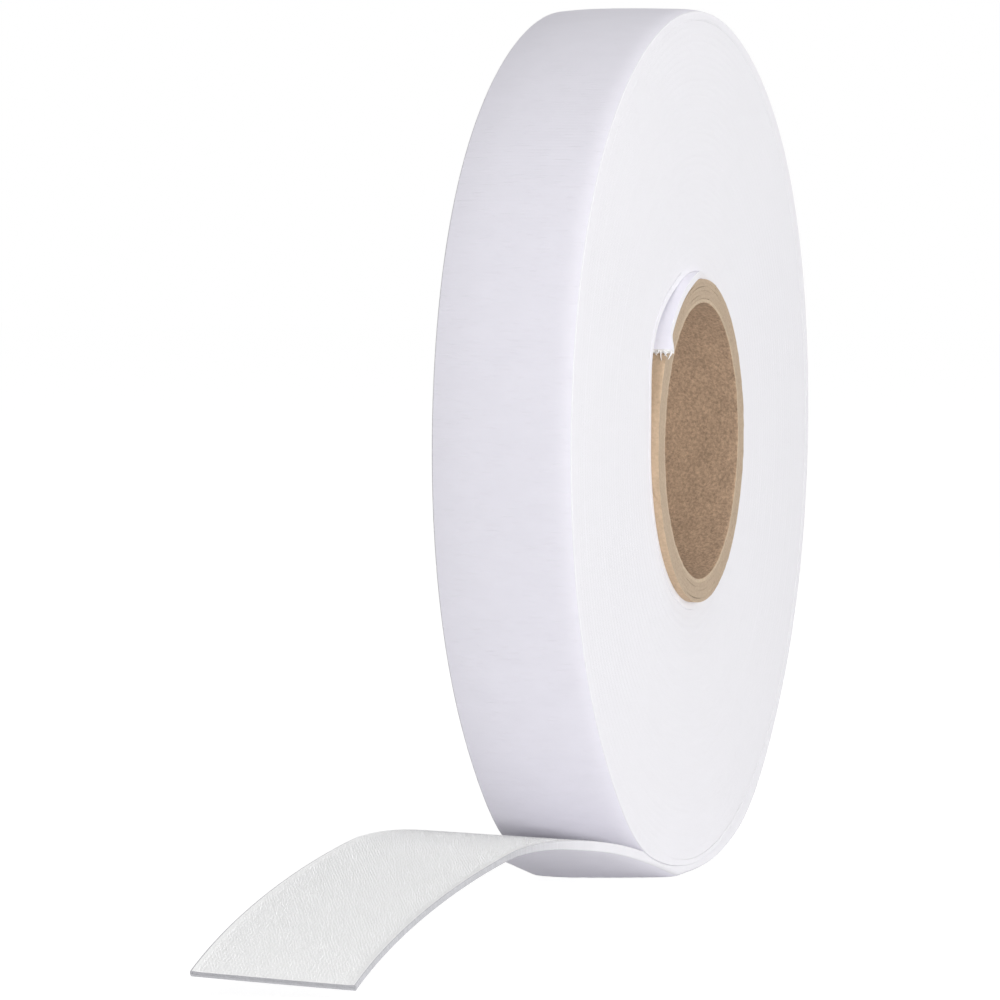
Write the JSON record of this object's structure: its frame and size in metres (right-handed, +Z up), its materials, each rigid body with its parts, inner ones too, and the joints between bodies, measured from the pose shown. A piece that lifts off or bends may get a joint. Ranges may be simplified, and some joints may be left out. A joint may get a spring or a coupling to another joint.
{
  "type": "hook and loop tape roll",
  "caption": "Roll of woven hook and loop tape on a spiral-wound paper core, standing on its rim with its free end drawn out in a low hump; the roll turns to pay out tape.",
  "frame": {"origin": "on the floor under the middle of the roll, on the flat that the roll stands on", "axes": "+Z up; +Y along the roll's axis, away from the side that shows the tape's start; +X away from the free end"},
  "size_m": [0.4191, 0.0412, 0.2384],
  "materials": {
    "tape_cloth": "woven white nylon, smooth back, hooked face",
    "core_board": "cut edge of wound paper board",
    "core_liner": "fibrous brown kraft paper"
  },
  "bodies": {
    "tape": {"outer_turn": "tape_cloth"},
    "roll": {"core_ply_1": "core_liner", "core_ply_2": "core_board", "core_ply_3": "core_board", "core_ply_4": "core_board", "core_ply_5": "core_board", "core_ply_6": "core_board", "first_turn": "tape_cloth", "packed_turns": "tape_cloth"},
    "free_end": {"free_end": "tape_cloth"}
  },
  "joints": [
    {"name": "roll_spin", "type": "hinge", "parent": "tape", "child": "roll", "pos_m": [0, 0, 0.1195], "axis": [0, 1, 0], "continuous": true},
    {"name": "free_end_lift", "type": "hinge", "parent": "tape", "child": "free_end", "pos_m": [-0.16, 0, 0.0233], "axis": [0, 0.9983, 0.0585], "range_deg": [0, 75]}
  ]
}
